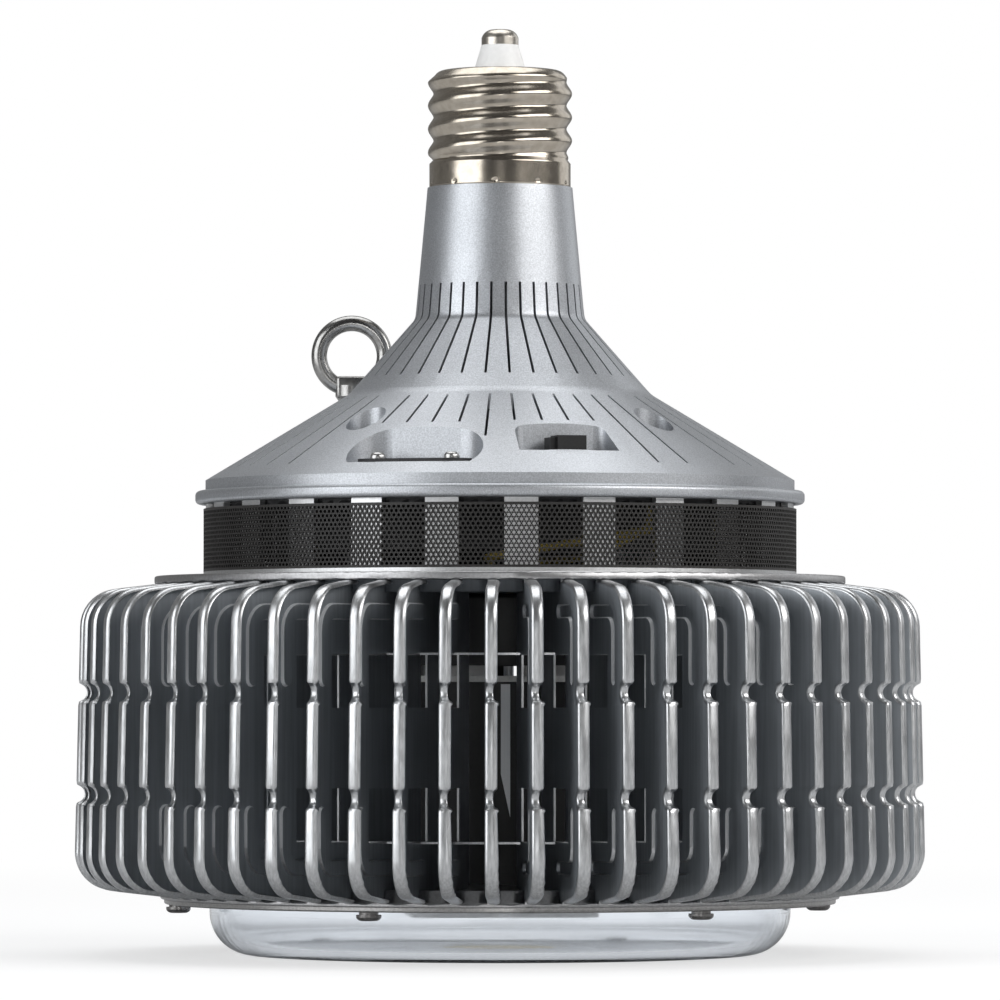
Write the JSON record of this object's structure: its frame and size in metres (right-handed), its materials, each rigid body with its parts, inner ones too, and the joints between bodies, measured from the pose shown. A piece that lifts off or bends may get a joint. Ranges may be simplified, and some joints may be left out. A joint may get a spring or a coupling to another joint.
{
  "type": "high bay LED retrofit lamp",
  "caption": "High bay LED retrofit lamp: mogul screw base, slotted conical driver housing, perforated vent band, radial sheet-fin heat sink and clear dished lens.",
  "frame": {"origin": "tip of the centre contact, on the axis of the screw base", "axes": "+Z along the lamp's axis, out of the lens end toward the tip of the screw base; -Y is the front seen in the picture"},
  "size_m": [0.229, 0.229, 0.2497],
  "materials": {
    "plated_contact": "bright nickel plate",
    "white_insulator": "smooth white",
    "nickel_shell": "nickel-plated, bright",
    "silver_paint": "satin silver",
    "steel_screws": "zinc bright",
    "stainless_eye": "polished stainless",
    "black_cover": "matte black",
    "black_socket": "matte black",
    "tray_sheet": "matte black",
    "brass_spacers": "turned",
    "green_board": "solder mask",
    "dark_ferrite": "matte",
    "capacitor_sleeve": "shrink sleeve",
    "choke_winding": "enamelled wire",
    "vent_aluminium": "satin",
    "dark_mesh": "dark satin",
    "plate_aluminium": "satin",
    "fin_aluminium": "rolled sheet",
    "black_column": "matte black",
    "pale_board": "fibre board",
    "brown_insulation": "silicone",
    "blue_insulation": "silicone",
    "yellow_insulation": "silicone",
    "grey_pad": "soft",
    "white_ceramic": "matte",
    "yellow_phosphor": "silicone dome",
    "white_holder": "moulded white",
    "white_reflector": "white reflective",
    "grey_gasket": "silicone",
    "clear_lens": "clear polished",
    "ring_steel": "bright"
  },
  "bodies": {
    "root": {"center_contact": "plated_contact", "base_insulator": "white_insulator", "screw_shell": "nickel_shell", "driver_housing": "silver_paint", "housing_screws": "steel_screws", "eye_bolt": "stainless_eye", "port_cover": "black_cover", "port_screws": "steel_screws", "control_socket": "black_socket", "driver_tray": "tray_sheet", "board_spacers": "brass_spacers", "driver_board": "green_board", "transformer": "dark_ferrite", "bulk_capacitors": "capacitor_sleeve", "filter_choke": "choke_winding", "vent_ring": "vent_aluminium", "mesh_band": "dark_mesh", "chamber_posts": "vent_aluminium", "post_screws": "steel_screws", "top_plate": "plate_aluminium", "cooling_fins": "fin_aluminium", "base_plate": "plate_aluminium", "core_column": "black_column", "core_board": "pale_board", "terminal_blocks": "white_insulator", "junction_cover": "black_column", "live_lead": "brown_insulation", "shell_lead": "blue_insulation", "led_leads": "yellow_insulation", "cob_leads": "yellow_insulation", "thermal_pad": "grey_pad", "led_substrate": "white_ceramic", "led_phosphor": "yellow_phosphor", "led_holder": "white_holder", "reflector_plate": "white_reflector", "lens_gasket": "grey_gasket", "lens": "clear_lens", "lens_ring": "ring_steel", "lens_washers": "steel_screws", "lens_screws": "steel_screws"}
  },
  "joints": []
}
